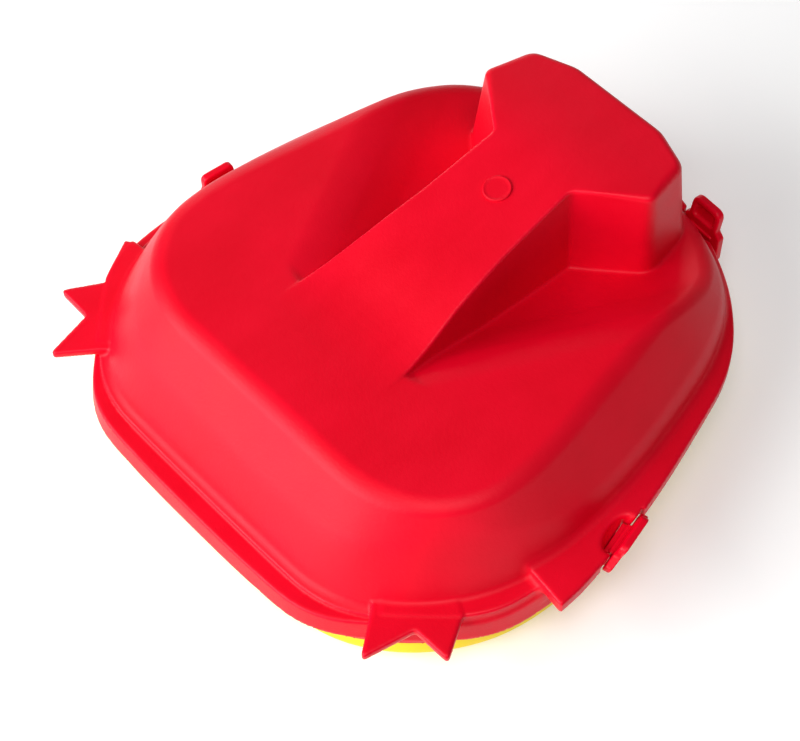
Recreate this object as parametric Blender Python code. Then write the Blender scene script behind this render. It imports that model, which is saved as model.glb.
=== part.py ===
"""Compact sharps container: shallow yellow tub under a red moulded lid with a T-shaped carrying grip.

Metres, +Z up, the tub stands on Z = 0. +Y is the back (where the grip head is), +X the right-hand side.
Plan outlines are quadratic B-splines over control polygons given for the right half and mirrored in X.
"""

import math

import bmesh
import bpy
from mathutils import Matrix, Vector

for old in list(bpy.data.objects):
    bpy.data.objects.remove(old, do_unlink=True)

MM = 0.001

# Heights, in mm above the resting face.
PLATE = 20.0  # top of the star tabs and of the raised corner plates
FLANGE = PLATE - 3.0  # top of the low front flange
WING = PLATE + 2.0  # top of the wide rim plate
WING_UNDER = PLATE - 1.5
CREASE = PLATE + 6.0  # where the steep lower wall turns into the sloped wall
TOP = PLATE + 21.0  # flat top
SKIRT_END = PLATE - 8.5
TUB_SHOULDER = SKIRT_END - 0.5
TUB_RIM = FLANGE - 2.4
TUB_CHAMFER = 3.6
FLOOR_DEEP = PLATE + 9.5  # bottom of the finger pockets

WALL = 2.0
GAP = 0.4
SKIRT_DRAFT = 0.7
GRIP_DRAFT = math.tan(math.radians(6.5))
GRIP_REF = PLATE + 33.0  # height at which the grip outline is given
STEP = 4  # points for each B-spline span

# Control polygons of the right half, from the middle of the front to the middle of the back.
SKIRT = [(20, -61.5), (38.6, -59.8), (53.2, -46.0), (66.0, -32.6), (69.0, -16), (67.7, 1), (64.5, 18), (60.1, 35), (54, 53), (43.6, 68.6), (26.4, 78.1), (9, 80.2)]
FOOT = [(19, -55), (37, -54.5), (51, -45), (61, -31.5), (65, -15.5), (64.8, 1), (62.2, 18), (58.7, 34.5), (53.6, 52), (44.0, 66.6), (27.2, 75.7), (9, 78)]
BELT = [(18, -51), (34, -50.5), (47.5, -43), (57.5, -30), (62.5, -15), (63.2, 1), (61.0, 18), (57.6, 34), (53.0, 51), (43.8, 66.2), (27.2, 74.9), (9, 77)]
CROWN = [(16, -38.8), (32, -38.8), (45, -33), (52.5, -21.5), (53.3, -9), (51.5, 4), (48.6, 18), (46.2, 32.4), (42.4, 48), (34.2, 60.4), (20.6, 67.4), (7, 69.4)]
TUB = [(18, -56.3), (36, -56.3), (52, -46.5), (62.5, -31.5), (66.3, -16), (65.6, 1), (62.5, 18), (57.8, 34.5), (51.5, 52), (41, 66), (25, 75), (9, 77.5)]
RIM_PLATE = [(20, -64), (45, -63), (64, -50), (72, -36), (74.6, -18), (71.7, 1), (67.9, 18), (62.9, 35), (57.0, 53.4), (44.0, 67.9), (25.4, 78.4), (9, 82.5)]

# Grip outline at GRIP_REF, right half: spine, neck, head. (x, y, corner radius)
GRIP = [(17.2, -22, 0), (15.6, -8, 0), (14.0, 6, 0), (12.8, 22, 0), (12.3, 42.7, 2.5), (27.1, 54.0, 3.0), (24.2, 67.2, 4.5), (13.5, 71.3, 9.0)]
# Crest of the spine and head, side view: (y, height above PLATE)
CREST = [(-24, 19.6), (-16, 20.6), (-11, 21.2), (-6, 22.2), (0, 24.2), (6.6, 26.3), (13, 27.9), (20, 29.3), (33, 31.9), (42, 33.6), (48, 34.2), (56, 34.2), (90, 32.0)]

# Finger pockets: a straight fold line in the flat top, from which the floor slopes down.
FOLD_A = (19.2, -9.0)
FOLD_B = (40.6, 31.5)
POCKET_FALL = 0.594
POCKET_FRONT = -9.5

# Star tabs on the two front corners (right-hand one, mirrored for the left).
STAR = [(53.4, -58.7), (56.3, -45.6), (66.3, -45.3), (60.9, -36.0), (50, -30), (40, -42), (46.9, -50.0)]
STAR_THICK = 2.0

# Latches: middle of the outer face on the rim edge, outward direction, heights and widths.
LATCH_THICK = 1.9
LATCH_BARB = 1.5
LATCHES = {
    "latch_right": dict(at=(72.3, 2.7), out=(0.97, 0.24), top=PLATE + 5.8, pivot=PLATE + 0.2, low=PLATE - 6.4, grip=10.4, foot=16.4, lean=0.32, under=PLATE - 1.6, back=1.6, leg=8.4),
    "latch_left": dict(at=(-68.6, 4.2), out=(-1.0, 0.09), top=PLATE + 2.2, pivot=PLATE - 3.4, low=PLATE - 7.2, grip=8.8, foot=10.5, lean=0.10),
    "latch_back_right": dict(at=(24.0, 80.4), out=(0.06, 1.0), top=PLATE + 8.4, pivot=PLATE + 0.2, low=PLATE - 7.2, grip=9.0, foot=12.0, lean=0.16),
    "latch_back_left": dict(at=(-24.0, 80.4), out=(-0.06, 1.0), top=PLATE + 8.4, pivot=PLATE + 0.2, low=PLATE - 7.2, grip=9.0, foot=12.0, lean=0.16),
}

RED = (0.62, 0.004, 0.016, 1.0)
YELLOW = (0.93, 0.62, 0.01, 1.0)


def material(name, colour, roughness):
    made = bpy.data.materials.new(name)
    made.use_nodes = True
    shader = made.node_tree.nodes["Principled BSDF"]
    shader.inputs["Base Color"].default_value = colour
    shader.inputs["Roughness"].default_value = roughness
    made.diffuse_color = colour
    return made


def ring(half):
    """Closed quadratic B-spline over the control polygon and its mirror image."""
    points = [Vector(p) for p in half] + [Vector((-x, y)) for x, y in reversed(half)]
    count = len(points)
    out = []
    for i in range(count):
        a, b, c = points[i - 1], points[i], points[(i + 1) % count]
        for k in range(STEP):
            t = k / STEP
            out.append(0.5 * (1 - t) ** 2 * a + (0.5 + t * (1 - t)) * b + 0.5 * t**2 * c)
    return out


def inset(points, distance):
    """Moves a counter-clockwise outline inward (or outward, when negative)."""
    out = []
    for i, p in enumerate(points):
        t = (points[(i + 1) % len(points)] - points[i - 1]).normalized()
        out.append(p + Vector((-t.y, t.x)) * distance)
    return out


def blend(a, b, t):
    return [p.lerp(q, t) for p, q in zip(a, b)]


def solid(name, vertices, faces):
    mesh = bpy.data.meshes.new(name)
    mesh.from_pydata([(x * MM, y * MM, z * MM) for x, y, z in vertices], [], faces)
    obj = bpy.data.objects.new(name, mesh)
    bpy.context.scene.collection.objects.link(obj)
    work = bmesh.new()
    work.from_mesh(mesh)
    bmesh.ops.recalc_face_normals(work, faces=work.faces)
    bmesh.ops.triangulate(work, faces=work.faces)
    work.to_mesh(mesh)
    work.free()
    return obj


def stack(name, levels):
    """Closed body through outlines with the same number of points, each at its height."""
    n = len(levels[0][0])
    vertices = [(p.x, p.y, z) for outline, z in levels for p in outline]
    faces = []
    for k in range(len(levels) - 1):
        for i in range(n):
            j = (i + 1) % n
            faces.append((k * n + i, k * n + j, (k + 1) * n + j, (k + 1) * n + i))
    faces.append(tuple(range(n)))
    faces.append(tuple(range((len(levels) - 1) * n, len(levels) * n)))
    return solid(name, vertices, faces)


def prism(name, outline, low, high):
    return stack(name, [([Vector(p) for p in outline], low), ([Vector(p) for p in outline], high)])


def tidy(obj):
    work = bmesh.new()
    work.from_mesh(obj.data)
    bmesh.ops.remove_doubles(work, verts=work.verts, dist=1.5e-6)
    bmesh.ops.dissolve_degenerate(work, edges=work.edges, dist=1.5e-6)
    bmesh.ops.triangulate(work, faces=work.faces)
    work.to_mesh(obj.data)
    work.free()


def combine(target, tool, how):
    """EXACT Boolean of two bodies, made permanent in the target."""
    modifier = target.modifiers.new(how, "BOOLEAN")
    modifier.operation = how
    modifier.solver = "EXACT"
    modifier.object = tool
    bpy.context.view_layer.update()
    graph = bpy.context.evaluated_depsgraph_get()
    result = bpy.data.meshes.new_from_object(target.evaluated_get(graph))
    target.modifiers.clear()
    target.data = result
    bpy.data.objects.remove(tool, do_unlink=True)
    tidy(target)
    return target


def shifted(points, distance):
    """Offsets a straight-sided outline outward by moving each edge and intersecting its neighbours."""
    n = len(points)
    out = []
    for i in range(n):
        a, b, c = points[i - 1], points[i], points[(i + 1) % n]
        e, f = (b - a).normalized(), (c - b).normalized()
        ne, nf = Vector((e.y, -e.x)), Vector((f.y, -f.x))
        p, q = b + ne * distance, b + nf * distance
        cross = e.x * f.y - e.y * f.x
        if abs(cross) < 1e-4:
            out.append(p)
            continue
        d = q - p
        out.append(p + e * ((d.x * f.y - d.y * f.x) / cross))
    return out


def rounded(points, radii, pieces=5):
    """Replaces corners by arcs (pieces segments each, so that outlines keep the same point count)."""
    out = []
    n = len(points)
    for i in range(n):
        a, b, c = points[i - 1], points[i], points[(i + 1) % n]
        r = radii[i]
        if r <= 0:
            out.append(b.copy())
            continue
        u, v = (a - b).normalized(), (c - b).normalized()
        reach = min(r / math.tan(u.angle(v) / 2), 0.48 * (a - b).length, 0.48 * (c - b).length)
        p, q = b + u * reach, b + v * reach
        for k in range(pieces + 1):
            t = k / pieces
            out.append(p * (1 - t) ** 2 + b * 2 * t * (1 - t) + q * t**2)
    return out


def grip_ring(distance, height):
    """Grip outline, widened by the draft towards the bottom and by distance outward."""
    grow = (GRIP_REF - height) * GRIP_DRAFT + distance
    half = [Vector((x, y)) for x, y, r in GRIP]
    radii = [r for x, y, r in GRIP]
    both = half + [Vector((-p.x, p.y)) for p in reversed(half)]
    all_radii = radii + radii[::-1]
    moved = shifted(both, grow)
    return rounded(moved, all_radii), height


def crest_solid(name, drop):
    """Everything below the crest line, as wide as needed."""
    fine = []
    for (y0, z0), (y1, z1) in zip(CREST, CREST[1:]):
        fine.append((y0, PLATE + z0 - drop))
    fine.append((CREST[-1][0], PLATE + CREST[-1][1] - drop))
    outline = fine + [(CREST[-1][0], -10.0), (CREST[0][0], -10.0)]
    n = len(outline)
    vertices = [(-60, y, z) for y, z in outline] + [(60, y, z) for y, z in outline]
    faces = [tuple(range(n)), tuple(range(2 * n - 1, n - 1, -1))]
    faces += [(i, (i + 1) % n, n + (i + 1) % n, n + i) for i in range(n)]
    return solid(name, vertices, faces)


def pocket_solid(name, side, drop):
    """Material above the pocket floor on one side of the spine."""
    direction = (Vector(FOLD_B) - Vector(FOLD_A)).normalized()
    across = Vector((-direction.y, direction.x))
    top = TOP - drop
    deep = FLOOR_DEEP - drop
    run = (top - deep) / POCKET_FALL
    start = -0.02 / POCKET_FALL
    profile = [(start - 8.0, top + 8.0 * POCKET_FALL), (run - 2.2, deep + 2.2 * POCKET_FALL), (run - 0.4, deep + 0.62), (run + 1.6, deep + 0.12), (run + 4, deep), (160, deep), (160, 75), (start - 8.0, 75)]
    vertices = []
    for along in (-70, 130):
        for s, z in profile:
            p = Vector(FOLD_A) + direction * along + across * s
            vertices.append((p.x, p.y, z))
    n = len(profile)
    faces = [tuple(range(n)), tuple(range(2 * n - 1, n - 1, -1))]
    faces += [(i, (i + 1) % n, n + (i + 1) % n, n + i) for i in range(n)]
    body = solid(name, vertices, faces)
    limit = prism(name + "_limit", [(0.0, POCKET_FRONT), (110, POCKET_FRONT), (110, 110), (0.0, 110)], 0, 90)
    body = combine(body, limit, "INTERSECT")
    if side < 0:
        work = bmesh.new()
        work.from_mesh(body.data)
        bmesh.ops.scale(work, vec=(-1, 1, 1), verts=work.verts)
        bmesh.ops.reverse_faces(work, faces=work.faces)
        work.to_mesh(body.data)
        work.free()
    return body


def dome(name, extra, lid_inside):
    """Lid body without the grip: skirt, flange, lower wall, sloped wall, flat top."""
    skirt, foot, belt, crown = ring(SKIRT), ring(FOOT), ring(BELT), ring(CROWN)
    if not lid_inside:
        levels = [
            (skirt, SKIRT_END),
            (inset(skirt, SKIRT_DRAFT), FLANGE - 0.4),
            (inset(skirt, SKIRT_DRAFT + 0.4), FLANGE),
            (inset(foot, -1.4), FLANGE),
            (inset(foot, -1.1), FLANGE + 0.9),
            (inset(foot, -0.1), FLANGE + 0.9),
            (belt, CREASE - 0.3),
            (blend(belt, crown, 0.07), CREASE + 1.0),
            (blend(belt, crown, 0.80), TOP - 2.6),
            (blend(belt, crown, 0.93), TOP - 0.75),
            (blend(belt, crown, 1.06), TOP),
        ]
    else:
        levels = [
            (inset(skirt, WALL - 0.05), SKIRT_END - 3),
            (inset(skirt, WALL - 0.05), SKIRT_END),
            (inset(skirt, SKIRT_DRAFT + WALL), FLANGE - WALL),
            (inset(foot, WALL), FLANGE - WALL),
            (inset(belt, WALL), CREASE - 0.6),
            (inset(blend(belt, crown, 0.80), WALL * 0.8), TOP - 4.0),
            (inset(blend(belt, crown, 1.0), 1.6), TOP - WALL),
        ]
    return stack(name, levels)


def box_at(name, at, out, across, outward, low, high):
    """Box in a latch's frame: across and outward are (from, to) along the edge and away from the lid."""
    o = Vector(out).normalized()
    a = Vector((-o.y, o.x))
    c = Vector(at)
    outline = [c + a * across[0] + o * outward[0], c + a * across[0] + o * outward[1], c + a * across[1] + o * outward[1], c + a * across[1] + o * outward[0]]
    return prism(name, outline, low, high)


def lid():
    body = dome("lid_shell", 0, False)
    for side in (1, -1):
        combine(body, pocket_solid("pocket", side, 0.0), "DIFFERENCE")

    # T-shaped grip: drafted outline cut off by the crest line.
    hump = stack("hump", [grip_ring(0, PLATE + 3.0), grip_ring(0, PLATE + 38.0)])
    combine(hump, crest_solid("crest", 0.0), "INTERSECT")
    combine(body, hump, "UNION")

    # Star tabs, raised corner plates.
    for side in (1, -1):
        star = [(side * x, y) for x, y in STAR]
        radii = [0.8, 0.5, 0.8, 0.3, 0, 0, 0.3]
        if side < 0:
            star, radii = star[::-1], radii[::-1]
        plate = prism("star", rounded([Vector(p) for p in star], radii, 3), PLATE - STAR_THICK, PLATE)
        combine(body, plate, "UNION")
    outer = inset(ring(SKIRT), 1.3)
    corner = stack("corner", [(inset(ring(SKIRT), 1.05), FLANGE - 1.0), (outer, PLATE - 0.3), (inset(outer, 0.3), PLATE)])
    combine(corner, prism("keep", [(46, -42), (74, -42), (74, -20.2), (58, -17.8), (46, -24)], 0, 60), "INTERSECT")
    combine(body, corner, "UNION")
    corner = stack("corner", [(inset(ring(SKIRT), 1.05), FLANGE - 1.0), (outer, PLATE - 0.3), (inset(outer, 0.3), PLATE)])
    combine(corner, prism("keep", [(-74, -42), (-46, -42), (-46, -23.4), (-74, -23.4)], 0, 60), "INTERSECT")
    combine(body, corner, "UNION")
    ear = prism("ear", rounded([Vector(p) for p in ((-58, -38), (-58, -23.3), (-64.0, -23.4), (-67.7, -24.8), (-61.9, -35.4))][::-1], [0, 0.6, 0.9, 0, 0], 3), PLATE - STAR_THICK, PLATE)
    combine(body, ear, "UNION")

    # Wide rim plate: right-hand side from the step backwards, round the back, to the rear of the left-hand side.
    riser = stack("riser", [(inset(ring(SKIRT), 1.25), FLANGE - 1.3), (inset(ring(SKIRT), 1.5), WING - 0.9)])
    plate = stack("rim", [(inset(ring(RIM_PLATE), 0.35), WING_UNDER), (ring(RIM_PLATE), WING_UNDER + 0.35), (ring(RIM_PLATE), WING - 0.4), (inset(ring(RIM_PLATE), 0.4), WING)])
    keep = [(56, -17.3), (64.8, -18.4), (80, -20.3), (80, 95), (-70, 95), (-70, 43), (-48, 41), (-48, 52), (-36, 62), (0, 66), (36, 62), (50, 40), (54, 0)]
    for part, grow in ((riser, 0), (plate, 0)):
        combine(part, prism("keep", keep, 0, 60), "INTERSECT")
        combine(body, part, "UNION")

    # Gate disc on the spine.
    tilt = math.atan2(31.9 - 29.3, 13.0)
    disc = bmesh.new()
    bmesh.ops.create_cone(disc, cap_ends=True, segments=32, radius1=3.5 * MM, radius2=3.2 * MM, depth=1.6 * MM)
    bmesh.ops.transform(disc, matrix=Matrix.Translation(Vector((0, 32.0, PLATE + 31.7 - 0.45)) * MM) @ Matrix.Rotation(tilt, 4, "X"), verts=disc.verts)
    mesh = bpy.data.meshes.new("disc")
    disc.to_mesh(mesh)
    disc.free()
    gate = bpy.data.objects.new("disc", mesh)
    bpy.context.scene.collection.objects.link(gate)
    combine(body, gate, "UNION")

    # Hollow inside: dome cavity, lowered under the pockets, plus the grip's own cavity.
    cavity = dome("cavity", 0, True)
    for side in (1, -1):
        combine(cavity, pocket_solid("pocket", side, WALL * 1.15), "DIFFERENCE")
    core = stack("core", [grip_ring(-WALL, PLATE - 4.0), grip_ring(-WALL, PLATE + 38.0)])
    combine(core, crest_solid("crest", WALL), "INTERSECT")
    combine(cavity, core, "UNION")
    combine(body, cavity, "DIFFERENCE")

    # Notches, barb windows and clearance slots for the latches.
    for name, d in LATCHES.items():
        half = d["foot"] / 2 + 0.45
        combine(body, box_at("notch", d["at"], d["out"], (-half, half), (-LATCH_THICK - 0.5, 6), d["low"] - 0.6, WING + 3), "DIFFERENCE")
        if "back" in d:
            reach = d["leg"] / 2 + 0.4
            combine(body, box_at("slot", d["at"], d["out"], (-reach, reach), (-LATCH_THICK - d["back"] - 0.45, -LATCH_THICK + 1), d["low"] - 0.7, WING + 3), "DIFFERENCE")
        elif d["top"] > WING + 2:
            combine(body, box_at("slot", d["at"], d["out"], (-4.6, 4.6), (-LATCH_THICK - 2.4, -LATCH_THICK + 1), WING_UNDER - 1.2, WING + 3), "DIFFERENCE")
        combine(body, box_at("window", d["at"], d["out"], (-3.9, 3.9), (-9, 4), d["low"] - 0.4, d["low"] + 2.6), "DIFFERENCE")
    return body


def tub():
    skirt, wall = ring(SKIRT), ring(TUB)
    rim = inset(skirt, SKIRT_DRAFT + WALL + GAP)
    levels = [
        (inset(wall, 4.6), 0.0),
        (inset(wall, 1.6), TUB_CHAMFER * 0.45),
        (inset(wall, 0.25), TUB_CHAMFER),
        (inset(wall, -0.25), TUB_SHOULDER - 0.5),
        (inset(wall, 0.25), TUB_SHOULDER),
        (rim, TUB_SHOULDER),
        (rim, TUB_RIM - 0.4),
        (inset(rim, 0.4), TUB_RIM),
        (inset(rim, WALL - 0.3), TUB_RIM),
        (inset(rim, WALL), TUB_RIM - 0.4),
        (inset(rim, WALL), TUB_SHOULDER - 1.0),
        (inset(wall, WALL + 0.8), TUB_SHOULDER - 2.4),
        (inset(wall, WALL + 1.1), TUB_CHAMFER + 0.6),
        (inset(wall, 5.4), WALL),
    ]
    return stack("base_tub", levels)


def latch(name, d):
    """Lever plate with a finger spoon above the pivot and a barb below it."""
    o = Vector(d["out"]).normalized()
    a = Vector((-o.y, o.x))
    c = Vector(d["at"])
    low, pivot, top = d["low"], d["pivot"], d["top"]
    foot, grip = d["foot"] / 2, d["grip"] / 2
    shoulder = min(pivot + 2.6, top - 3.6)
    under, back = d.get("under", low), d.get("back", 0.0)
    kink = d.get("under", shoulder)
    # Front view of the plate: (across, height), counter-clockwise.
    view = [(-foot, under + 1.2), (-foot + 1.2, under), (foot - 1.2, under), (foot, under + 1.2), (foot, shoulder - 1.6), (grip, shoulder), (grip, top - 2.6), (grip - 0.8, top - 0.75), (grip - 2.6, top), (-grip + 2.6, top), (-grip + 0.8, top - 0.75), (-grip, top - 2.6), (-grip, shoulder), (-foot, shoulder - 1.6)]

    def place(u, w, z):
        lean = max(0.0, z - kink) * d["lean"]
        p = c + a * u + o * (w + lean)
        return (p.x, p.y, z)

    n = len(view)
    vertices = [place(u, -LATCH_THICK, z) for u, z in view] + [place(u, 0.0, z) for u, z in view]
    faces = [tuple(range(n)), tuple(range(2 * n - 1, n - 1, -1))]
    faces += [(i, (i + 1) % n, n + (i + 1) % n, n + i) for i in range(n)]
    plate = solid(name, vertices, faces)

    # Hook leg, set back under the lever so that it passes behind the rim.
    if back:
        rear = -LATCH_THICK - back
        combine(plate, box_at("leg", d["at"], d["out"], (-d["leg"] / 2, d["leg"] / 2), (rear, rear + 1.5), low, under + 1.5), "UNION")
        combine(plate, box_at("heel", d["at"], d["out"], (-d["leg"] / 2 + 0.1, d["leg"] / 2 - 0.1), (rear + 0.3, -0.8), under + 0.1, under + 1.4), "UNION")

    # Barb on the inner face, under the window in the skirt.
    b = 3.3
    in_face = -LATCH_THICK - back
    profile = [(in_face + 0.4, low + 0.1 * (back > 0)), (in_face - LATCH_BARB, low + 0.7), (in_face - LATCH_BARB, low + 1.3), (in_face + 0.4, low + 2.1)]
    vertices = [place(-b, w, z) for w, z in profile] + [place(b, w, z) for w, z in profile]
    m = len(profile)
    faces = [tuple(range(m)), tuple(range(2 * m - 1, m - 1, -1))]
    faces += [(i, (i + 1) % m, m + (i + 1) % m, m + i) for i in range(m)]
    combine(plate, solid("barb", vertices, faces), "UNION")

    # Spoon-like recess in the inner face, with a raised edge left around it.
    g = grip - 1.3
    low_cut = shoulder + 0.3
    slope = min(0.9, (top - 1.5 - low_cut) * 0.28)
    vertices = []
    for w, shrink in ((-LATCH_THICK - 1.5, 0.0), (-LATCH_THICK, 0.0), (-LATCH_THICK + 0.75, slope)):
        for u, z in ((-g + shrink, low_cut + shrink), (g - shrink, low_cut + shrink), (g - shrink, top - 1.5 - shrink), (g - 1.5 - shrink * 0.4, top - 1.0 - shrink), (-g + 1.5 + shrink * 0.4, top - 1.0 - shrink), (-g + shrink, top - 1.5 - shrink)):
            vertices.append(place(u, w, z))
    faces = [(0, 1, 2, 3, 4, 5), (17, 16, 15, 14, 13, 12)]
    for k in (0, 1):
        faces += [(k * 6 + i, k * 6 + (i + 1) % 6, (k + 1) * 6 + (i + 1) % 6, (k + 1) * 6 + i) for i in range(6)]
    combine(plate, solid("spoon", vertices, faces), "DIFFERENCE")
    return plate


def finish(obj, mat, smooth_angle):
    work = bmesh.new()
    work.from_mesh(obj.data)
    bmesh.ops.remove_doubles(work, verts=work.verts, dist=2e-6)
    bmesh.ops.dissolve_degenerate(work, edges=work.edges, dist=2e-6)
    bmesh.ops.triangulate(work, faces=work.faces)
    bmesh.ops.recalc_face_normals(work, faces=work.faces)
    for face in work.faces:
        face.smooth = True
    for edge in work.edges:
        if len(edge.link_faces) == 2 and edge.calc_face_angle(0.0) > smooth_angle:
            edge.smooth = False
    work.to_mesh(obj.data)
    work.free()
    obj.data.materials.clear()
    obj.data.materials.append(mat)


def origin_to(obj, point):
    """Puts the object's origin on a point of its joint axis, leaving the shape where it is."""
    move = Vector(point) * MM
    obj.data.transform(Matrix.Translation(-move))
    obj.location = move


finish(tub_obj := tub(), material("tub_plastic", YELLOW, 0.42), math.radians(28))
finish(lid_obj := lid(), material("lid_plastic", RED, 0.46), math.radians(28))
for latch_name, latch_data in LATCHES.items():
    made = latch(latch_name, latch_data)
    finish(made, material(latch_name + "_plastic", RED, 0.44), math.radians(28))
    way = Vector(latch_data["out"]).normalized()
    middle = Vector(latch_data["at"]) - way * LATCH_THICK * 0.5
    origin_to(made, (middle.x, middle.y, latch_data["pivot"]))
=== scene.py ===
"""Compact sharps container: red moulded lid with a T-shaped grip over a shallow yellow tub.

The moulded pieces are written as signed distance fields (millimetres, negative inside), so that every edge
and every inner corner gets a real moulding radius, and are turned into meshes here.
"""

import math

import bmesh
import bpy
import numpy as np
from mathutils import Matrix, Vector


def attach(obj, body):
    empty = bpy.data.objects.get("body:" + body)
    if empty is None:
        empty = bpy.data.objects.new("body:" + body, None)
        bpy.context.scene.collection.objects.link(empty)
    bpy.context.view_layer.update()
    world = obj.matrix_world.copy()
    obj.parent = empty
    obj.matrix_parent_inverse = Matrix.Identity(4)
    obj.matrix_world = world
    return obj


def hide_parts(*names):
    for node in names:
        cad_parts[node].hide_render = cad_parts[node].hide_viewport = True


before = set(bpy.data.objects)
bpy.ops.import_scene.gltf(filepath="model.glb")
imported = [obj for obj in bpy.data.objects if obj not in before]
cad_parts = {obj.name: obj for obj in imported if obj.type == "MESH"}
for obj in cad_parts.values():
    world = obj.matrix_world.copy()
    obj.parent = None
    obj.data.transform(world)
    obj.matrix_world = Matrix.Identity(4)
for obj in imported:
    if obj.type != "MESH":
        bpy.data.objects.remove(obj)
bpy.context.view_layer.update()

MM = 0.001
F32 = np.float32
STEP_LID = 0.5
STEP_TUB = 0.75
STEP_LATCH = 0.24

# ---------------------------------------------------------------------------------------------------------
# Sizes, the same as in the CAD model
# ---------------------------------------------------------------------------------------------------------
PLATE = 20.0
FLANGE = PLATE - 3.0
WING = PLATE + 2.0
WING_UNDER = PLATE - 1.5
CREASE = PLATE + 6.0
TOP = PLATE + 21.0
SKIRT_END = PLATE - 8.5
TUB_SHOULDER = SKIRT_END - 0.5
TUB_RIM = FLANGE - 2.4
FLOOR_DEEP = PLATE + 9.5
WALL = 2.0
SKIRT_DRAFT = 0.7
GRIP_DRAFT = math.tan(math.radians(6.5))
GRIP_REF = PLATE + 33.0

SKIRT = [(20, -61.5), (38.6, -59.8), (53.2, -46.0), (66.0, -32.6), (69.0, -16), (67.7, 1), (64.5, 18), (60.1, 35), (54, 53), (43.6, 68.6), (26.4, 78.1), (9, 80.2)]
FOOT = [(19, -55), (37, -54.5), (51, -45), (61, -31.5), (65, -15.5), (64.8, 1), (62.2, 18), (58.7, 34.5), (53.6, 52), (44.0, 66.6), (27.2, 75.7), (9, 78)]
BELT = [(18, -51), (34, -50.5), (47.5, -43), (57.5, -30), (62.5, -15), (63.2, 1), (61.0, 18), (57.6, 34), (53.0, 51), (43.8, 66.2), (27.2, 74.9), (9, 77)]
CROWN = [(16, -38.8), (32, -38.8), (45, -33), (52.5, -21.5), (53.3, -9), (51.5, 4), (48.6, 18), (46.2, 32.4), (42.4, 48), (34.2, 60.4), (20.6, 67.4), (7, 69.4)]
TUB = [(18, -56.3), (36, -56.3), (52, -46.5), (62.5, -31.5), (66.3, -16), (65.6, 1), (62.5, 18), (57.8, 34.5), (51.5, 52), (41, 66), (25, 75), (9, 77.5)]
RIM_PLATE = [(20, -64), (45, -63), (64, -50), (72, -36), (74.6, -18), (71.7, 1), (67.9, 18), (62.9, 35), (57.0, 53.4), (44.0, 67.9), (25.4, 78.4), (9, 82.5)]
GRIP = [(17.2, -22, 0), (15.6, -8, 0), (14.0, 6, 0), (12.8, 22, 0), (12.3, 42.7, 2.5), (27.1, 54.0, 3.0), (24.2, 67.2, 4.5), (13.5, 71.3, 9.0)]
CREST = [(-24, 19.6), (-16, 20.6), (-11, 21.2), (-6, 22.2), (0, 24.2), (6.6, 26.3), (13, 27.9), (20, 29.3), (33, 31.9), (42, 33.6), (48, 34.2), (56, 34.2), (90, 32.0)]
FOLD_A = (19.2, -9.0)
FOLD_B = (40.6, 31.5)
POCKET_FALL = 0.594
POCKET_FRONT = -10.8
STAR = [(53.4, -58.7, 0.8), (56.3, -45.6, 0.5), (66.3, -45.3, 0.8), (60.9, -36.0, 0.3), (50, -30, 0), (40, -42, 0), (46.9, -50.0, 0.3)]
EAR = [(61.9, -35.4, 0), (67.7, -24.8, 0), (64.0, -23.4, 0.9), (58, -23.3, 0.6), (50, -30, 0), (56, -40, 0)]
LATCH_THICK = 1.9
LATCH_BARB = 1.5
LATCHES = {
    "latch_right": dict(at=(72.3, 2.7), out=(0.97, 0.24), top=PLATE + 5.8, pivot=PLATE + 0.2, low=PLATE - 6.4, grip=10.4, foot=16.4, lean=0.32, under=PLATE - 1.6, back=1.6, leg=8.4),
    "latch_left": dict(at=(-68.6, 4.2), out=(-1.0, 0.09), top=PLATE + 2.2, pivot=PLATE - 3.4, low=PLATE - 7.2, grip=8.8, foot=10.5, lean=0.10),
    "latch_back_right": dict(at=(24.0, 80.4), out=(0.06, 1.0), top=PLATE + 8.4, pivot=PLATE + 0.2, low=PLATE - 7.2, grip=9.0, foot=12.0, lean=0.16),
    "latch_back_left": dict(at=(-24.0, 80.4), out=(-0.06, 1.0), top=PLATE + 8.4, pivot=PLATE + 0.2, low=PLATE - 7.2, grip=9.0, foot=12.0, lean=0.16),
}


# ---------------------------------------------------------------------------------------------------------
# Plane outlines
# ---------------------------------------------------------------------------------------------------------
def ring(half, step=8):
    """Closed quadratic B-spline over a control polygon and its mirror image."""
    pts = np.array(list(half) + [(-x, y) for x, y in reversed(half)], float)
    out = []
    for i in range(len(pts)):
        a, b, c = pts[i - 1], pts[i], pts[(i + 1) % len(pts)]
        for k in range(step):
            t = k / step
            out.append(0.5 * (1 - t) ** 2 * a + (0.5 + t * (1 - t)) * b + 0.5 * t**2 * c)
    return np.array(out)


def rounded(corners, pieces=8):
    """Polygon whose corners (x, y, radius) are replaced by arcs."""
    pts = np.array([(x, y) for x, y, r in corners], float)
    out = []
    for i in range(len(pts)):
        a, b, c = pts[i - 1], pts[i], pts[(i + 1) % len(pts)]
        r = corners[i][2]
        if r <= 0:
            out.append(b)
            continue
        u, v = (a - b) / np.linalg.norm(a - b), (c - b) / np.linalg.norm(c - b)
        angle = math.acos(float(np.clip(u @ v, -1, 1)))
        reach = min(r / math.tan(angle / 2), 0.48 * np.linalg.norm(a - b), 0.48 * np.linalg.norm(c - b))
        p, q = b + u * reach, b + v * reach
        for k in range(pieces + 1):
            t = k / pieces
            out.append(p * (1 - t) ** 2 + b * 2 * t * (1 - t) + q * t**2)
    return np.array(out)


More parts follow.
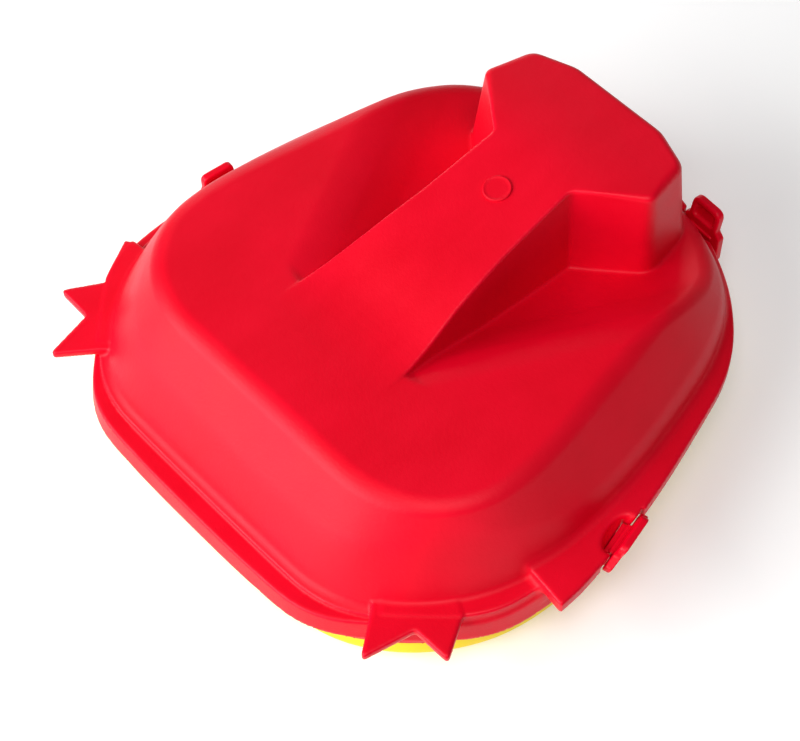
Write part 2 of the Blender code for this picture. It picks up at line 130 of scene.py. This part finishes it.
def outline_distance(poly, x, y):
    """Signed distance (negative inside) from points to a closed polygon."""
    shape = np.broadcast(x, y).shape
    px = np.broadcast_to(x, shape).astype(F32).ravel()
    py = np.broadcast_to(y, shape).astype(F32).ravel()
    best = np.full(px.shape, 1e9, F32)
    inside = np.zeros(px.shape, bool)
    n = len(poly)
    for i in range(n):
        ax, ay = poly[i - 1]
        bx, by = poly[i]
        ex, ey = bx - ax, by - ay
        length = ex * ex + ey * ey
        if length < 1e-12:
            continue
        wx, wy = px - F32(ax), py - F32(ay)
        t = np.clip((wx * F32(ex) + wy * F32(ey)) / F32(length), 0, 1)
        dx, dy = wx - t * F32(ex), wy - t * F32(ey)
        np.minimum(best, dx * dx + dy * dy, out=best)
        if ay != by:
            cross = (ay > py) != (by > py)
            side = px < (F32(ex) * (py - F32(ay)) / F32(by - ay) + F32(ax))
            inside ^= cross & side
    d = np.sqrt(best)
    return np.where(inside, -d, d).reshape(shape)


# ---------------------------------------------------------------------------------------------------------
# Rounded joins of distance fields
# ---------------------------------------------------------------------------------------------------------
def both(a, b, r):
    """Common part, with its edge rounded."""
    return np.minimum(np.maximum(a, b), -r) + np.sqrt(np.maximum(a + r, 0) ** 2 + np.maximum(b + r, 0) ** 2)


def either(a, b, r):
    """Union, with its inner corner filled."""
    return np.maximum(np.minimum(a, b), r) - np.sqrt(np.maximum(r - a, 0) ** 2 + np.maximum(r - b, 0) ** 2)


def lerp(a, b, t):
    return a + (b - a) * t


def smoothstep(v, low, high):
    t = np.clip((v - low) / (high - low), 0, 1)
    return t * t * (3 - 2 * t)


# The crest line as a table of (y, height); crest_height smooths out its kinks.
_crest = np.array(CREST, float)


def crest_height(y):
    """Crest line above PLATE at y, with its corners averaged out over a few millimetres."""
    total = 0.0
    offsets = (-3.0, -2.0, -1.0, 0.0, 1.0, 2.0, 3.0)
    wide = 1 + 1.3 * smoothstep(-y, -4.0, 10.0)
    for o in offsets:
        total = total + np.maximum(np.interp(y + o * wide, _crest[:, 0], _crest[:, 1]), 21.0)
    return (total / len(offsets)).astype(F32)


def half_plane(x, y, px, py, nx, ny):
    """Negative on the side opposite to the normal."""
    size = math.hypot(nx, ny)
    return ((x - px) * (nx / size) + (y - py) * (ny / size)).astype(F32)


GRIP_OUTLINE = rounded(GRIP + [(-x, y, r) for x, y, r in reversed(GRIP)])
STAR_RIGHT = rounded(STAR, 5)
STAR_LEFT = STAR_RIGHT[::-1] * np.array([-1, 1])
EAR_LEFT = rounded(EAR, 5)[::-1] * np.array([-1, 1])


def plane_fields(x, y):
    """Everything that depends on x and y only."""
    s = dict(
        skirt=outline_distance(ring(SKIRT), x, y),
        foot=outline_distance(ring(FOOT), x, y),
        belt=outline_distance(ring(BELT), x, y),
        crown=outline_distance(ring(CROWN), x, y),
        rim=outline_distance(ring(RIM_PLATE), x, y),
        grip=outline_distance(GRIP_OUTLINE, x, y),
        star=np.minimum(outline_distance(STAR_RIGHT, x, y), outline_distance(STAR_LEFT, x, y)),
        ear=outline_distance(EAR_LEFT, x, y),
    )
    return s


def lid_core(x, y, z, s, cavity):
    """Skirt block, dome, finger pockets and grip. The cavity is open downward and everything is moved in by WALL."""
    off = F32(WALL if cavity else 0.0)
    skirt = s["skirt"] + SKIRT_DRAFT * (z - SKIRT_END) / (FLANGE - SKIRT_END) + off
    block = both(skirt, z - (FLANGE - off), 0.45 if not cavity else 0.6)
    if not cavity:
        block = both(block, SKIRT_END - z, 0.3)
        ledge = both(s["foot"] - 1.25, z - (FLANGE + 0.9), 0.3)
        block = either(block, np.maximum(ledge, SKIRT_END + 2 - z), 0.12)
    lower = lerp(s["foot"], s["belt"], (z - FLANGE) / (CREASE - FLANGE)) * 0.91 + off
    upper = lerp(s["belt"], s["crown"], (z - CREASE) / (TOP - CREASE)) * 0.79 + off
    wall = both(lower, upper, 1.5)
    dome = both(wall, z - (TOP - off), 2.4)

    # Finger pockets, mirrored in X.
    ax = np.abs(x)
    run = math.hypot(FOLD_B[0] - FOLD_A[0], FOLD_B[1] - FOLD_A[1])
    ux, uy = (FOLD_B[0] - FOLD_A[0]) / run, (FOLD_B[1] - FOLD_A[1]) / run
    across = (ax - FOLD_A[0]) * (-uy) + (y - FOLD_A[1]) * ux
    tilt = 1 / math.hypot(1, POCKET_FALL)
    sloping = (z - (TOP - off * 1.15 - POCKET_FALL * across)) * tilt
    deep = z - (FLOOR_DEEP - off * 1.15)
    pocket = both(-sloping, -deep, 5.0)
    pocket = both(pocket, POCKET_FRONT - y + 0 * z, 0.6)
    dome = both(dome, -pocket, 2.6)

    # Grip: drafted outline under the crest line.
    side = (s["grip"] - (GRIP_REF - z) * GRIP_DRAFT) * 0.9935 + off
    slope = 0.21
    crest = (z - (PLATE + crest_height(y) - off)) / math.hypot(1, slope)
    edge = 0.55 + 1.15 * smoothstep(y, 44.0, 60.0)
    hump = both(side, crest, edge)
    hump = both(hump, PLATE + 2.0 - z, 0.5) if not cavity else hump
    foot_round = 0.02 + 0.9 * smoothstep(y, -15.0, -3.0)
    dome = either(dome, hump, foot_round)
    return either(block, dome, 1.6 if not cavity else 0.8)


def latch_frame(x, y, d):
    """(across, outward) in a latch's own directions."""
    o = np.array(d["out"], float)
    o /= np.linalg.norm(o)
    dx, dy = x - d["at"][0], y - d["at"][1]
    return dx * (-o[1]) + dy * o[0], dx * o[0] + dy * o[1]


def slab(v, low, high):
    return np.maximum(low - v, v - high)


def lid_field(x, y, z, s):
    core = lid_core(x, y, z, s, False)

    # Raised corner plates: right between the star tab and the rim plate, left only a short piece.
    corner = s["skirt"] + 1.35 + 0 * z
    corner_right = both(both(corner, z - PLATE, 0.35), np.maximum(half_plane(x, y, 47.5, -47.5, -0.72, -0.69), -x + 40) + 0 * z, 0.5)
    corner_right = np.maximum(corner_right, y + 16.0)
    corner_left = both(both(corner, z - PLATE, 0.35), np.maximum(half_plane(x, y, -47.5, -47.5, 0.72, -0.69), x + 40) + 0 * z, 0.5)
    corner_left = both(corner_left, y + 23.4 + 0 * z, 0.4)
    plates = np.maximum(np.minimum(corner_right, corner_left), FLANGE - 1.5 - z)

    # Star tabs and the left ear.
    thin = slab(z, PLATE - 2.0, PLATE)
    tabs = both(np.minimum(s["star"], s["ear"]) + 0 * z, thin, 0.35)

    # Wide rim plate with its riser.
    keep_right = -half_plane(x, y, 64.8, -18.4, 0.125, 0.99)
    keep_left = 49.5 - y
    blend = smoothstep(x, -20.0, 20.0)
    keep = lerp(keep_left, keep_right, blend)
    rim = both(s["rim"] + 0.8 * smoothstep(-x, 25.0, 45.0) + 0 * z, slab(z, WING_UNDER, WING), 0.4)
    riser = np.maximum(s["skirt"] + 1.45, slab(z, FLANGE - 1.3, WING - 0.9))
    rim = both(either(rim, riser, 0.6), keep + 0 * z, 0.35)

    body = either(core, plates, 1.2)
    body = either(body, tabs, 0.7)
    body = either(body, rim, 1.8)

    # Hollow inside.
    body = both(body, -lid_core(x, y, z, s, True), 0.3)

    # Latch notches, slots and barb windows.
    for d in LATCHES.values():
        u, w = latch_frame(x, y, d)
        half = d["foot"] / 2 + 0.45
        inner = -LATCH_THICK - 0.45
        if "back" in d:
            inner = inner + d["lean"] * np.clip(z - d["under"], 0, 4)
        notch = np.maximum(np.maximum(slab(u, -half, half), np.maximum(inner - w, w - 7.0)) + 0 * z, slab(z, d["low"] - 0.6, WING + 3))
        body = both(body, -notch, 0.3)
        if "back" in d:
            slot = np.maximum(slab(u, -d["leg"] / 2 - 0.4, d["leg"] / 2 + 0.4), np.maximum(slab(w, -LATCH_THICK - d["back"] - 0.4, -1.0), slab(z, d["low"] - 0.6, PLATE + 0.6)))
            body = both(body, -slot, 0.25)
        if d["top"] > WING + 2:
            scoop = np.sqrt((u / 5.6) ** 2 + ((w + LATCH_THICK + 0.4) / 3.0) ** 2 + ((z - WING - 0.6) / 3.6) ** 2) - 1.0
            body = both(body, -scoop * 2.9, 0.5)
        window = np.maximum(np.maximum(slab(u, -3.9, 3.9), slab(w, -9.0, 4.0)) + 0 * z, slab(z, d["low"] - 0.4, d["low"] + 2.6))
        body = both(body, -window, 0.25)
    return body


def tub_fields(x, y):
    return dict(tub=outline_distance(ring(TUB), x, y), skirt=outline_distance(ring(SKIRT), x, y))


def tub_field(x, y, z, s):
    neck = s["skirt"] + SKIRT_DRAFT + WALL + 0.4
    outer = both(s["tub"] - 0.02 * z, -z, 4.2)
    outer = both(outer, z - TUB_SHOULDER, 0.35)
    collar = both(both(neck + 0 * z, z - TUB_RIM, 0.5), 6.0 - z, 0.3)
    body = either(outer, collar, 0.25)
    hollow = both(both(s["tub"] + WALL + 0.6 + 0 * z, WALL - z, 4.0), z - (TUB_SHOULDER - 2.2), 0.4)
    hollow = either(hollow, both(neck + WALL - 0.1 + 0 * z, 6.0 - z, 0.3), 0.6)
    body = both(body, -hollow, 0.3)
    # Raised ring to stand on: the middle of the underside is set back.
    recess = both(s["tub"] + 10.5 + 0 * z, z - 0.6, 0.5)
    body = both(body, -recess, 0.4)
    # Sprue mark in the middle.
    r = np.sqrt(x * x + (y - 10.0) ** 2)
    mark = both(r - 3.0 + 0 * z, slab(z, 0.25, 2.0), 0.15)
    return either(body, mark, 0.2)


def latch_field(d):
    foot, grip = d["foot"] / 2, d["grip"] / 2
    low, pivot, top = d["low"], d["pivot"], d["top"]
    shoulder = min(pivot + 2.6, top - 3.6)
    under, back = d.get("under", low), d.get("back", 0.0)
    kink = d.get("under", shoulder)
    view = [(-foot, under, 1.2), (foot, under, 1.2), (foot, shoulder - 1.5, 1.0), (grip, shoulder + 0.1, 0.9), (grip, top, 2.3), (-grip, top, 2.3), (-grip, shoulder + 0.1, 0.9), (-foot, shoulder - 1.5, 1.0)]
    outline = rounded(view, 6)
    inner = rounded([(-grip + 1.25, shoulder + 0.2, 1.0), (grip - 1.25, shoulder + 0.2, 1.0), (grip - 1.25, top - 1.3, 1.3), (-grip + 1.25, top - 1.3, 1.3)], 6)

    def field(u, w, z, s):
        upright = w + back
        w = w - np.maximum(0.0, z - kink) * d["lean"]
        plate = both(s["view"], slab(w, -LATCH_THICK, 0.0), 0.42)
        spoon = both(s["inner"] + 0.35 * (w + LATCH_THICK), slab(w, -LATCH_THICK - 2.0, -LATCH_THICK + 0.85), 0.5)
        plate = both(plate, -spoon, 0.3)
        # Barb, wedge-shaped.
        if back:
            # Hook leg, set back under the lever so that it passes behind the rim.
            side = slab(u, -d["leg"] / 2, d["leg"] / 2)
            leg = both(side, np.maximum(slab(upright, -LATCH_THICK, -LATCH_THICK + 1.5), slab(z, low, under + 1.5)), 0.3)
            heel = both(side, np.maximum(slab(upright, -LATCH_THICK, back - 0.8), slab(z, under, under + 1.5)), 0.3)
            plate = either(plate, np.minimum(leg, heel), 0.35)
        barb = np.maximum(slab(u, -3.3, 3.3), np.maximum(-LATCH_THICK - LATCH_BARB - upright, upright + LATCH_THICK - 0.4))
        barb = np.maximum(barb, np.maximum((low + 0.1 - z) * 0.9 - (upright + LATCH_THICK) * 0.42, (z - (low + 2.1)) * 0.9 - (upright + LATCH_THICK) * 0.45))
        plate = either(plate, barb + 0.15, 0.4)
        # Thin web at the bending line.
        web = np.maximum(slab(u, -grip + 1.0, grip - 1.0), np.maximum(slab(w, -LATCH_THICK - (0.43 if not back else 1.0), -LATCH_THICK + 0.5), slab(z, pivot - 0.35, pivot + 0.35)))
        return either(plate, web, 0.2)

    return field, outline, inner, (low, top)


# ---------------------------------------------------------------------------------------------------------
# Distance field to mesh: one vertex per crossed cell, joined across crossed edges, then moved on to the field
# ---------------------------------------------------------------------------------------------------------
def surface(f, origin, step):
    """(vertices, quads) of the zero surface of a grid of values."""
    inside = f < 0
    nx, ny, nz = f.shape
    cell = np.zeros((nx - 1, ny - 1, nz - 1), np.uint8)
    for i in (0, 1):
        for j in (0, 1):
            for k in (0, 1):
                cell += inside[i : nx - 1 + i, j : ny - 1 + j, k : nz - 1 + k]
    active = (cell > 0) & (cell < 8)
    index = np.full(active.shape, -1, np.int32)
    where = np.argwhere(active)
    index[active] = np.arange(len(where), dtype=np.int32)
    total = np.zeros((len(where), 3), np.float64)
    count = np.zeros(len(where), np.float64)
    a0, b0, c0 = where[:, 0], where[:, 1], where[:, 2]
    corners = [(i, j, k) for i in (0, 1) for j in (0, 1) for k in (0, 1)]
    for p in corners:
        for axis in range(3):
            if p[axis]:
                continue
            q = list(p)
            q[axis] = 1
            fp = f[a0 + p[0], b0 + p[1], c0 + p[2]]
            fq = f[a0 + q[0], b0 + q[1], c0 + q[2]]
            hit = (fp < 0) != (fq < 0)
            t = np.where(hit, fp / np.where(hit, fp - fq, 1), 0)
            point = np.array(p, float) + np.zeros((len(where), 3))
            point[:, axis] += t
            total += np.where(hit[:, None], point, 0)
            count += hit
    vertices = (where + total / count[:, None]) * step + np.array(origin)
    quads = []
    for axis in range(3):
        lo = [slice(None)] * 3
        hi = [slice(None)] * 3
        lo[axis] = slice(0, -1)
        hi[axis] = slice(1, None)
        a, b = inside[tuple(lo)], inside[tuple(hi)]
        hit = np.argwhere(a != b)
        o1, o2 = [(1, 2), (2, 0), (0, 1)][axis]
        limit = [nx - 1, ny - 1, nz - 1]
        ok = (hit[:, o1] > 0) & (hit[:, o2] > 0) & (hit[:, o1] < limit[o1]) & (hit[:, o2] < limit[o2])
        hit = hit[ok]
        out = a[tuple(hit.T)]  # inside at the low end: the surface faces along the axis
        four = []
        for s1, s2 in ((-1, -1), (0, -1), (0, 0), (-1, 0)):
            c = hit.copy()
            c[:, o1] += s1
            c[:, o2] += s2
            four.append(index[c[:, 0], c[:, 1], c[:, 2]])
        q = np.stack(four, 1)
        q[~out] = q[~out][:, ::-1]
        quads.append(q)
    return vertices, np.concatenate(quads)


def gradient(field, fields, p, e):
    out = np.zeros_like(p)
    for axis in range(3):
        d = np.zeros(3)
        d[axis] = e
        out[:, axis] = (field(p + d) - field(p - d)) / (2 * e)
    return out


def grid_sampler(grids, x0, y0, step):
    """Bilinear reading of the plane fields at scattered points."""

    def read(x, y):
        fx, fy = (x - x0) / step, (y - y0) / step
        some = next(iter(grids.values()))
        i = np.clip(fx.astype(int), 0, some.shape[0] - 2)
        j = np.clip(fy.astype(int), 0, some.shape[1] - 2)
        tx, ty = fx - i, fy - j
        out = {}
        for name, g in grids.items():
            out[name] = (g[i, j] * (1 - tx) + g[i + 1, j] * tx) * (1 - ty) + (g[i, j + 1] * (1 - tx) + g[i + 1, j + 1] * tx) * ty
        return out

    return read


def build(name, low, high, step, make_fields, field):
    """Vertices, quads and a curvature value per vertex from a field. make_fields gives the plane fields on a grid,
    field the distance.
    """
    axes = [np.arange(low[k], high[k] + step, step).astype(F32) for k in range(3)]
    x, y, z = axes[0][:, None, None], axes[1][None, :, None], axes[2][None, None, :]
    plane = {k: v.astype(F32) for k, v in make_fields(axes[0][:, None], axes[1][None, :]).items()}
    values = np.empty((len(axes[0]), len(axes[1]), len(axes[2])), F32)
    for a in range(0, len(axes[0]), 48):
        part = slice(a, a + 48)
        values[part] = field(x[part], y, z, {k: v[part][:, :, None] for k, v in plane.items()})
    vertices, quads = surface(values, [float(v[0]) for v in axes], step)
    read = grid_sampler(plane, float(axes[0][0]), float(axes[1][0]), step)

    def at(p):
        return field(p[:, 0], p[:, 1], p[:, 2], read(p[:, 0], p[:, 1]))

    for _ in range(3):
        g = gradient(at, plane, vertices, 0.06)
        size = np.maximum((g**2).sum(1), 0.25)
        move = -(at(vertices) / size)[:, None] * g
        length = np.linalg.norm(move, axis=1)
        move *= np.minimum(1, 0.35 * step / np.maximum(length, 1e-9))[:, None]
        vertices = vertices + move
    e = 0.45
    bend = -6 * at(vertices)
    for axis in range(3):
        d = np.zeros(3)
        d[axis] = e
        bend = bend + at(vertices + d) + at(vertices - d)
    return vertices, quads, np.clip(bend / e**2, -3, 3)


def make_object(name, vertices, quads, bend):
    mesh = bpy.data.meshes.new(name)
    mesh.vertices.add(len(vertices))
    mesh.vertices.foreach_set("co", (np.asarray(vertices) * MM).astype(F32).ravel())
    mesh.loops.add(len(quads) * 4)
    mesh.loops.foreach_set("vertex_index", quads.astype(np.int32).ravel())
    mesh.polygons.add(len(quads))
    mesh.polygons.foreach_set("loop_start", np.arange(0, len(quads) * 4, 4, dtype=np.int32))
    mesh.polygons.foreach_set("use_smooth", np.ones(len(quads), bool))
    mesh.update(calc_edges=True)
    mesh.validate()
    layer = mesh.attributes.new("bend", "FLOAT", "POINT")
    layer.data.foreach_set("value", np.asarray(bend, F32))
    obj = bpy.data.objects.new(name, mesh)
    bpy.context.scene.collection.objects.link(obj)
    return obj


def drop_crumbs(obj, least=400):
    """Removes loose specks that a field can leave where two thin things nearly meet."""
    mesh = obj.data
    n = len(mesh.vertices)
    edges = np.empty(len(mesh.edges) * 2, np.int32)
    mesh.edges.foreach_get("vertices", edges)
    edges = edges.reshape(-1, 2)
    label = np.arange(n)
    for _ in range(400):
        low = np.minimum(label[edges[:, 0]], label[edges[:, 1]])
        new = label.copy()
        np.minimum.at(new, edges[:, 0], low)
        np.minimum.at(new, edges[:, 1], low)
        new = new[new]
        if (new == label).all():
            break
        label = new
    names, sizes = np.unique(label, return_counts=True)
    bad = np.isin(label, names[sizes < least])
    if bad.any() and not bad.all():
        work = bmesh.new()
        work.from_mesh(mesh)
        work.verts.ensure_lookup_table()
        bmesh.ops.delete(work, geom=[work.verts[int(i)] for i in np.nonzero(bad)[0]], context="VERTS")
        work.to_mesh(mesh)
        work.free()


# ---------------------------------------------------------------------------------------------------------
# Materials
# ---------------------------------------------------------------------------------------------------------
def plastic(name, dark, light, roughness, grain=1.0, coat=0.0, tint=(1.0, 0.55, 0.6, 1)):
    """Moulded plastic: slow colour drift, flow marks, fine spark-eroded grain, smoother convex edges, and a painted
    highlight that makes the convex edges paler.
    """
    made = bpy.data.materials.new(name)
    made.use_nodes = True
    nodes, links = made.node_tree.nodes, made.node_tree.links
    shader = nodes["Principled BSDF"]
    shader.inputs["IOR"].default_value = 1.49
    shader.inputs["Specular IOR Level"].default_value = 0.32
    shader.inputs["Specular Tint"].default_value = tint
    shader.inputs["Coat Weight"].default_value = coat
    shader.inputs["Coat Roughness"].default_value = 0.35
    place = nodes.new("ShaderNodeTexCoord")

    def noise(scale, detail, rough=0.5, stretch=None):
        tex = nodes.new("ShaderNodeTexNoise")
        tex.inputs["Scale"].default_value = scale
        tex.inputs["Detail"].default_value = detail
        tex.inputs["Roughness"].default_value = rough
        if stretch:
            turn = nodes.new("ShaderNodeMapping")
            turn.inputs["Scale"].default_value = stretch
            links.new(place.outputs["Object"], turn.inputs["Vector"])
            links.new(turn.outputs["Vector"], tex.inputs["Vector"])
        else:
            links.new(place.outputs["Object"], tex.inputs["Vector"])
        return tex.outputs["Fac"]

    def remap(value, a, b, c, d):
        m = nodes.new("ShaderNodeMapRange")
        m.inputs["From Min"].default_value, m.inputs["From Max"].default_value = a, b
        m.inputs["To Min"].default_value, m.inputs["To Max"].default_value = c, d
        links.new(value, m.inputs["Value"])
        return m.outputs["Result"]

    def maths(kind, a, b):
        m = nodes.new("ShaderNodeMath")
        m.operation = kind
        for slot, v in enumerate((a, b)):
            if isinstance(v, (int, float)):
                m.inputs[slot].default_value = v
            else:
                links.new(v, m.inputs[slot])
        return m.outputs["Value"]

    slow = noise(34.0, 3.0, 0.55)
    flow = noise(90.0, 4.0, 0.6, (1.0, 0.35, 1.0))
    fine = noise(3400.0, 2.0, 0.6)
    pits = noise(1250.0, 1.0, 0.5)
    # Convex-edge mask from the curvature: it lowers the roughness and lightens the colour as a painted highlight.
    bend = nodes.new("ShaderNodeAttribute")
    bend.attribute_name = "bend"
    edge = remap(bend.outputs["Fac"], 0.15, 1.6, 0.0, 1.0)

    mix = nodes.new("ShaderNodeMix")
    mix.data_type = "RGBA"
    mix.inputs["A"].default_value = dark
    mix.inputs["B"].default_value = light
    drift_and_edge_highlight = maths("ADD", maths("MULTIPLY", remap(slow, 0.3, 0.7, 0.0, 1.0), 0.55), maths("MULTIPLY", remap(flow, 0.35, 0.65, 0.0, 1.0), 0.25))
    # Painted highlight: the convex edges are made paler.
    drift_and_edge_highlight = maths("ADD", drift_and_edge_highlight, maths("MULTIPLY", edge, 0.55))
    links.new(drift_and_edge_highlight, mix.inputs["Factor"])
    links.new(mix.outputs["Result"], shader.inputs["Base Color"])

    rough = maths("ADD", remap(flow, 0.3, 0.7, roughness - 0.035, roughness + 0.035), remap(fine, 0.3, 0.7, -0.03, 0.05))
    rough = maths("SUBTRACT", rough, maths("MULTIPLY", edge, 0.08))
    links.new(rough, shader.inputs["Roughness"])

    bump = nodes.new("ShaderNodeBump")
    bump.inputs["Strength"].default_value = 0.55 * grain
    bump.inputs["Distance"].default_value = 0.00006
    height = maths("ADD", fine, maths("MULTIPLY", pits, 0.9))
    links.new(height, bump.inputs["Height"])
    links.new(bump.outputs["Normal"], shader.inputs["Normal"])
    return made


RED = plastic("lid_red", (0.66, 0.0001, 0.011, 1), (0.80, 0.0002, 0.019, 1), 0.42)
RED_LATCH = plastic("latch_red", (0.66, 0.0002, 0.012, 1), (0.80, 0.0004, 0.019, 1), 0.38, 0.7)
YELLOW = plastic("tub_yellow", (0.90, 0.66, 0.0, 1), (0.97, 0.78, 0.0, 1), 0.40, 0.6, 0.0, (1.0, 0.9, 0.25, 1))


# ---------------------------------------------------------------------------------------------------------
# Pieces
# ---------------------------------------------------------------------------------------------------------
def add_piece(name, built, material, body, node):
    obj = make_object(name, *built)
    drop_crumbs(obj)
    obj.data.materials.append(material)
    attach(obj, body)
    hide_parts(node)
    return obj


lid_built = build("lid_moulding", (-75.0, -65.0, 10.0), (75.0, 84.5, 55.5), STEP_LID, plane_fields, lid_field)
lid = add_piece("lid_moulding", lid_built, RED, "lid", "lid_shell")

tub_built = build("tub_moulding", (-69.0, -60.5, -1.5), (69.0, 80.5, 16.5), STEP_TUB, tub_fields, tub_field)
tub = add_piece("tub_moulding", tub_built, YELLOW, "base", "base_tub")

for latch_name, d in LATCHES.items():
    latch_shape, outline, inner, (low, top) = latch_field(d)
    half = d["foot"] / 2 + 0.8

    # Built in the latch's own directions: first axis across, second height, third outward.
    def fields(a, b, outline=outline, inner=inner):
        return dict(view=outline_distance(outline, a, b), inner=outline_distance(inner, a, b))

    def shape(a, b, c, s, latch_shape=latch_shape):
        return latch_shape(a, c, b, s)

    vertices, quads, bend = build(latch_name, (-half, low - 0.8, -LATCH_THICK - LATCH_BARB - d.get("back", 0.0) - 0.8), (half, top + 0.8, 3.4), STEP_LATCH, fields, shape)
    o = np.array(d["out"], float)
    o /= np.linalg.norm(o)
    a = np.array((-o[1], o[0]))
    placed = np.zeros_like(vertices)
    placed[:, :2] = np.array(d["at"]) + vertices[:, 0:1] * a + (vertices[:, 2:3] - 0.08) * o
    placed[:, 2] = vertices[:, 1]
    body = "clip" + latch_name[5:]
    # (across, outward, up) is right-handed with a flip, so the faces are turned to look outward.
    test = np.cross(np.append(a, 0), (0, 0, 1)) @ np.append(o, 0)
    if test < 0:
        quads = quads[:, ::-1]
    add_piece(latch_name + "_moulding", (placed, quads, bend), RED_LATCH, body, latch_name)

# Gate mark on the spine: a shallow disc in a faint ring.
work = bmesh.new()
profile = [(0.0, 0.30), (2.2, 0.30), (2.75, 0.32), (2.95, 0.40), (3.08, 0.44), (3.22, 0.42), (3.32, 0.34), (3.38, 0.20), (3.42, 0.0), (3.46, -0.8)]
turns = 72
rows = []
for r, z in profile:
    if r == 0:
        rows.append([work.verts.new((0, 0, z * MM))])
    else:
        rows.append([work.verts.new((r * math.cos(2 * math.pi * k / turns) * MM, r * math.sin(2 * math.pi * k / turns) * MM, z * MM)) for k in range(turns)])
for p, q in zip(rows, rows[1:]):
    for k in range(turns):
        m = (k + 1) % turns
        if len(p) == 1:
            work.faces.new((p[0], q[k], q[m]))
        else:
            work.faces.new((p[k], q[k], q[m], p[m]))
work.faces.new([rows[-1][k] for k in reversed(range(turns))])
for face in work.faces:
    face.smooth = True
gate_y = 32.3
gate_z = PLATE + float(crest_height(np.array([gate_y]))[0])
lean = math.atan2(float(crest_height(np.array([gate_y + 3]))[0] - crest_height(np.array([gate_y - 3]))[0]), 6.0)
place = Matrix.Translation(Vector((-0.4, gate_y, gate_z)) * MM) @ Matrix.Rotation(lean, 4, "X")
bmesh.ops.transform(work, matrix=place, verts=work.verts)
gate_mesh = bpy.data.meshes.new("gate_mark")
work.to_mesh(gate_mesh)
work.free()
gate = bpy.data.objects.new("gate_mark", gate_mesh)
bpy.context.scene.collection.objects.link(gate)
gate_mesh.materials.append(RED)
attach(gate, "lid")

# ---------------------------------------------------------------------------------------------------------
# Floor, light, camera
# ---------------------------------------------------------------------------------------------------------
floor_mesh = bpy.data.meshes.new("floor")
size = 3.0
floor_mesh.from_pydata([(-size, -size, 0), (size, -size, 0), (size, size, 0), (-size, size, 0)], [], [(0, 1, 2, 3)])
floor = bpy.data.objects.new("floor", floor_mesh)
bpy.context.scene.collection.objects.link(floor)
pale = bpy.data.materials.new("floor_pale")
pale.use_nodes = True
pale.node_tree.nodes["Principled BSDF"].inputs["Base Color"].default_value = (0.92, 0.92, 0.92, 1)
pale.node_tree.nodes["Principled BSDF"].inputs["Roughness"].default_value = 0.85
pale.node_tree.nodes["Principled BSDF"].inputs["Emission Color"].default_value = (1, 1, 1, 1)
pale.node_tree.nodes["Principled BSDF"].inputs["Emission Strength"].default_value = 0.2
floor_mesh.materials.append(pale)

world = bpy.data.worlds.new("studio")
bpy.context.scene.world = world
world.use_nodes = True
world.node_tree.nodes["Background"].inputs["Color"].default_value = (1.0, 1.0, 1.0, 1)
world.node_tree.nodes["Background"].inputs["Strength"].default_value = 0.10
bpy.context.scene.view_settings.view_transform = "Standard"


def softbox(name, at, aim, width, height, power):
    data = bpy.data.lights.new(name, "AREA")
    data.shape = "RECTANGLE"
    data.size, data.size_y = width, height
    data.energy = power
    lamp = bpy.data.objects.new(name, data)
    bpy.context.scene.collection.objects.link(lamp)
    lamp.location = at
    lamp.rotation_euler = (Vector(aim) - Vector(at)).to_track_quat("-Z", "Y").to_euler()
    return lamp


# The camera stands at azimuth 47 degrees, elevation 55 degrees, half a metre away.
AZ, EL, DIST, FOCAL = 47.2, 55.2, 503.0, 2180.0
AIM_RIGHT, AIM_UP = 1.6, -4.4
az, el = math.radians(AZ), math.radians(EL)
back = Vector((math.sin(az) * math.cos(el), -math.cos(az) * math.cos(el), math.sin(el)))
right = Vector((math.cos(az), math.sin(az), 0))
up = back.cross(right)
cam_data = bpy.data.cameras.new("camera")
cam_data.sensor_fit = "HORIZONTAL"
cam_data.sensor_width = 36.0
cam_data.lens = FOCAL / 800.0 * 36.0
cam_data.clip_start = 0.01
cam_data.clip_end = 20.0
camera = bpy.data.objects.new("camera", cam_data)
bpy.context.scene.collection.objects.link(camera)
spot = (back * DIST + right * AIM_RIGHT + up * AIM_UP) * MM + Vector((0, 0, PLATE * MM))
camera.matrix_world = Matrix.Translation(spot) @ Matrix((right, up, back)).transposed().to_4x4()
bpy.context.scene.camera = camera

middle = Vector((0, 0.01, 0.025))
softbox("key", middle + Vector((-0.30, -0.85, 0.46)).normalized() * 0.85, middle, 0.9, 0.6, 11.5)
softbox("top", middle + Vector((0.35, -0.25, 0.9)).normalized() * 0.95, middle, 0.5, 0.5, 4.0)
softbox("rim", middle + Vector((-0.82, 0.55, 0.30)).normalized() * 0.9, middle, 0.6, 0.4, 1.3)
